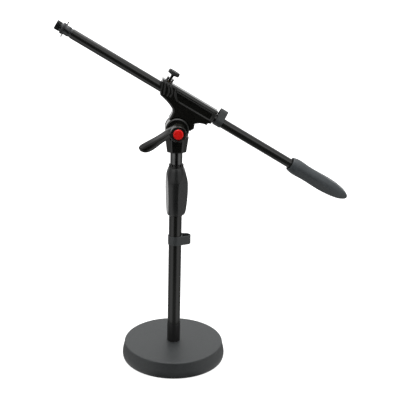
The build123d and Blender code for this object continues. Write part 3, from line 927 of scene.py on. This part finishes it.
def grip_moulding():
    """Soft rear grip: a lipped mouth, two bulges, a rounded tip and long lens-shaped scoops."""
    low, high = span("grip_cover", BOOM_AXIS)
    front, rear = low.z, high.z
    length = rear - front
    outer = curve([
        (11.6, front), (12.7, front + 4.2), (13.7, front + 13.5), (13.1, front + 35),
        (13.9, front + 63.5), (12.7, front + 85), (9.7, front + 103), (5.2, rear - 3.9),
        (2.2, rear - 0.7), (0.05, rear),
    ], 9)
    bore = 8.03
    least_radius = 11.7
    mouth = [(bore, front + 9), (10.3, front + 9), (10.4, front + 1.4), (10.8, front + 0.2)]
    inner = [(0.05, front + 71), (bore, front + 71)] + mouth

    def scooped(angle, r, z):
        """Three winding hollow scoops that fade out at both ends and clear the counterweight."""
        if r < 10.5 and z < front + 90:
            return r
        wall = least_radius - 0.25 * max(0.0, z - rear + 30)
        depth = min(0.16 * r, max(0.0, r - wall))
        t = (z - front - 9) / (length - 12)
        if not 0 < t < 1:
            return r
        fade = math.sin(math.pi * t) ** 0.8
        cut = 0.62 * depth * fade
        hollow = 0.38 * depth * fade
        for heading in (62, 182, 302):
            facing = math.cos(angle - math.radians(heading + 34 * (t - 0.5)))
            if facing > 0.4:
                dip = hollow * max(0.0, (facing - 0.8) / 0.2)
                r = soft_minimum(r, (r - cut) / facing - dip, 0.12)
        return r

    solid = lathe(outer + inner, 144, scooped, closed=True)
    piece("rear_grip_moulding", solid, BOOM_AXIS, grip_rubber, "grip_cover", sharp=55)


grip_moulding()

# ---------------------------------------------------------------- cable clips

CLIP_WALL = 1.2
CLIP_HEADING = 8


def arc(radius, centre, start, end, steps):
    """Points round part of a circle whose centre is on the X axis."""
    angles = [start + (end - start) * i / steps for i in range(steps + 1)]
    return [(centre + radius * math.cos(a), radius * math.sin(a)) for a in angles]


def upright(outline, bottom, top):
    """A bar of an (x, y) outline along Z."""
    return skin([[(x, y, bottom) for x, y in outline], [(x, y, top) for x, y in outline]])


def clip_moulding(tube, height, loop_radius, reach):
    """Snap ring with a teardrop cable loop, slit at the back beside the ring."""
    outer = tube + CLIP_WALL
    distance = reach - loop_radius
    contact = math.acos((outer - loop_radius) / distance)
    crotch = contact - math.acos(tube / outer)
    whole = arc(loop_radius, distance, -contact, contact, 24)
    whole += arc(outer, 0, contact, 2 * math.pi - contact, 40)
    room = arc(loop_radius - CLIP_WALL, distance, -contact, contact, 24)
    room += arc(outer, 0, crotch, -crotch, 16)
    cutters = [
        upright(room, -1, height + 1),
        rod(tube + 0.1, -1, height + 1),
        block(0.75 * outer, 0.75 * outer + 1.3, 0.69 * outer, outer + 2, -1, height + 1),
    ]
    solid = moulded([upright(whole, 0, height)], cutters, 0.22, 3)
    return moved(solid, Matrix.Rotation(math.radians(CLIP_HEADING), 4, "Z"))


def cable_clips():
    """The two clips, one on the lower tube and one on the boom."""
    low, high = span("tube_cable_clip")
    solid = clip_moulding(11.1, high.z - low.z, 8.0, 27.0)
    stand = Matrix.Translation((0, 0, low.z))
    piece("tube_clip_moulding", solid, WORLD @ stand, clip_nylon, "tube_cable_clip", sharp=0)
    low, high = span("boom_cable_clip", BOOM)
    solid = clip_moulding(8.0, high.x - low.x, 6.2, 20.8)
    turn = Matrix.Translation((high.x, 0, rise)) @ Matrix.Rotation(-math.pi / 2, 4, "Y")
    piece("boom_clip_moulding", solid, BOOM @ turn, clip_nylon, "boom_cable_clip", sharp=0)


cable_clips()

# ---------------------------------------------------------------- camera, light and floor

# Brightness of each part of the room, as reflections see it.
BACK_WALL = 1.1
SIDE_WALLS = 0.4
FRONT_CARDS = 1.5
CEILING = 0.9
ZENITH = 2.8
DIFFUSE_SHARE = 0.85

# The table: as the camera sees it, as soft light meets it, and as reflections see each side of it.
FLOOR_GLOW = 0.80
FLOOR_BOUNCE = 0.22
FLOOR_NEAR = 0.22
FLOOR_FRONT = 0.02
FLOOR_SIDES = 0.9
FLOOR_REAR = 1.3

def camera():
    """A long lens from the front, a little above the stand and to the left of it."""
    data = bpy.data.cameras.new("camera")
    data.lens = 72
    data.sensor_width = 36
    data.shift_x = -0.00125
    data.shift_y = 0.00125
    obj = bpy.data.objects.new("camera", data)
    heading = Matrix.Rotation(math.radians(-5.0), 4, "Z")
    place = Matrix.Translation((0.0418, -1.2828, 0.6983))
    pitch = Matrix.Rotation(math.radians(90 - 17.68), 4, "X")
    roll = Matrix.Rotation(math.radians(1.47), 4, "Z")
    obj.matrix_world = heading @ place @ pitch @ roll
    bpy.context.scene.collection.objects.link(obj)
    bpy.context.scene.camera = obj


def softbox(name, place, target, size, power):
    """A soft rectangular light that looks at a target."""
    data = bpy.data.lights.new(name, "AREA")
    data.shape = "RECTANGLE"
    data.size, data.size_y = size
    data.energy = power
    obj = bpy.data.objects.new(name, data)
    direction = Vector(target) - Vector(place)
    turn = direction.to_track_quat("-Z", "Y").to_matrix().to_4x4()
    obj.matrix_world = Matrix.Translation(place) @ turn
    bpy.context.scene.collection.objects.link(obj)


def surroundings():
    """White for the camera. Reflections see bright walls, ceiling and front cards over a dark front."""
    world = bpy.data.worlds.new("studio")
    world.use_nodes = True
    nodes = Nodes(world.node_tree)
    heading = nodes.node("ShaderNodeTexCoord").outputs["Generated"]
    x, y, z = nodes.node("ShaderNodeSeparateXYZ", Vector=heading).outputs
    sideways = nodes.math("ABSOLUTE", x)
    behind = nodes.ramp(y, 0.0, 0.5, 0.0, BACK_WALL)
    behind = nodes.math("MULTIPLY", behind, nodes.ramp(z, 0.4, 0.6, 1.0, 0.5))
    sides = nodes.ramp(sideways, 0.5, 0.9, 0.0, SIDE_WALLS)
    cards = nodes.ramp(y, -0.2, -0.5, 0.0, FRONT_CARDS)
    cards = nodes.math("MULTIPLY", cards, nodes.ramp(z, 0.12, 0.32, 0.0, 1.0))
    cards = nodes.math("MULTIPLY", cards, nodes.ramp(sideways, 0.14, 0.36, 0.0, 1.0))
    walls = nodes.math("MAXIMUM", nodes.math("MAXIMUM", behind, sides), cards)
    ceiling = nodes.ramp(z, 0.48, 0.70, 0.0, 1.0)
    lower = nodes.math("MULTIPLY", walls, nodes.math("SUBTRACT", 1.0, ceiling))
    above = nodes.math("MULTIPLY", ceiling, nodes.ramp(z, 0.80, 0.92, CEILING, ZENITH))
    room = nodes.math("ADD", lower, above)
    path = nodes.node("ShaderNodeLightPath")
    soft = nodes.ramp(path.outputs["Is Diffuse Ray"], 0.0, 1.0, 1.0, DIFFUSE_SHARE)
    mix = nodes.node("ShaderNodeMix", data_type="FLOAT")
    nodes.feed(mix.inputs[0], path.outputs["Is Camera Ray"])
    nodes.feed(mix.inputs[2], nodes.math("MULTIPLY", room, soft))
    nodes.feed(mix.inputs[3], 1.0)
    background = world.node_tree.nodes["Background"]
    nodes.feed(background.inputs["Strength"], mix.outputs[0])
    nodes.feed(background.inputs["Color"], (1, 1, 1, 1))
    bpy.context.scene.world = world


def floor_material():
    """Pale table: white with a faint shadow for the camera, and dark in front in reflections."""
    material = bpy.data.materials.new("pale_floor")
    material.use_nodes = True
    nodes = Nodes(material.node_tree)
    material.node_tree.nodes.remove(material.node_tree.nodes["Principled BSDF"])
    place = nodes.node("ShaderNodeNewGeometry").outputs["Position"]
    distance = nodes.node("ShaderNodeVectorMath", operation="LENGTH")
    nodes.feed(distance.inputs[0], place)
    distance = distance.outputs["Value"]
    glow = nodes.ramp(distance, 0.12, 0.7, FLOOR_GLOW, 1.0)
    paper = nodes.node("ShaderNodeBsdfDiffuse", Color=(0.5, 0.5, 0.5, 1.0))
    seen = nodes.node("ShaderNodeAddShader")
    nodes.feed(seen.inputs[0], nodes.node("ShaderNodeEmission", Strength=glow).outputs[0])
    nodes.feed(seen.inputs[1], paper.outputs[0])
    ahead = nodes.node("ShaderNodeSeparateXYZ", Vector=place).outputs[1]
    facing = nodes.math("DIVIDE", ahead, nodes.math("MAXIMUM", distance, 0.001))
    front = nodes.ramp(distance, 0.20, 0.50, FLOOR_NEAR, FLOOR_FRONT)
    sides = nodes.ramp(facing, -0.4, 0.2, FLOOR_SIDES, 0.35 * FLOOR_SIDES)
    rear = nodes.ramp(facing, 0.75, 0.92, 0.0, FLOOR_REAR)
    share = nodes.ramp(facing, -0.94, -0.78, 0.0, 1.0)
    table = nodes.math("MULTIPLY", front, nodes.math("SUBTRACT", 1.0, share))
    table = nodes.math("ADD", table, nodes.math("MULTIPLY", sides, share))
    table = nodes.math("MAXIMUM", table, rear)
    mirrored = nodes.node("ShaderNodeEmission", Strength=table)
    bounce = nodes.node("ShaderNodeBsdfDiffuse", Color=(FLOOR_BOUNCE, FLOOR_BOUNCE, FLOOR_BOUNCE, 1.0))
    path = nodes.node("ShaderNodeLightPath")
    unseen = nodes.node("ShaderNodeMixShader", Fac=path.outputs["Is Glossy Ray"])
    nodes.feed(unseen.inputs[1], bounce.outputs[0])
    nodes.feed(unseen.inputs[2], mirrored.outputs[0])
    mix = nodes.node("ShaderNodeMixShader", Fac=path.outputs["Is Camera Ray"])
    nodes.feed(mix.inputs[1], unseen.outputs[0])
    nodes.feed(mix.inputs[2], seen.outputs[0])
    nodes.feed(material.node_tree.nodes["Material Output"].inputs["Surface"], mix.outputs[0])
    return material


def floor():
    """Pale seamless floor under the stand."""
    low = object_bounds()[0]
    size = 30.0
    mesh = bpy.data.meshes.new("studio_floor")
    corners = [(-size, -size), (size, -size), (size, size), (-size, size)]
    mesh.from_pydata([(x, y, low[2] - 0.0002) for x, y in corners], [], [(0, 1, 2, 3)])
    mesh.materials.append(floor_material())
    obj = bpy.data.objects.new("studio_floor", mesh)
    bpy.context.scene.collection.objects.link(obj)


camera()
surroundings()
floor()
softbox("softbox_top", (0.0, 0.45, 1.45), (0, 0, 0.2), (0.9, 0.7), 4)
bpy.context.scene.view_settings.view_transform = "Standard"
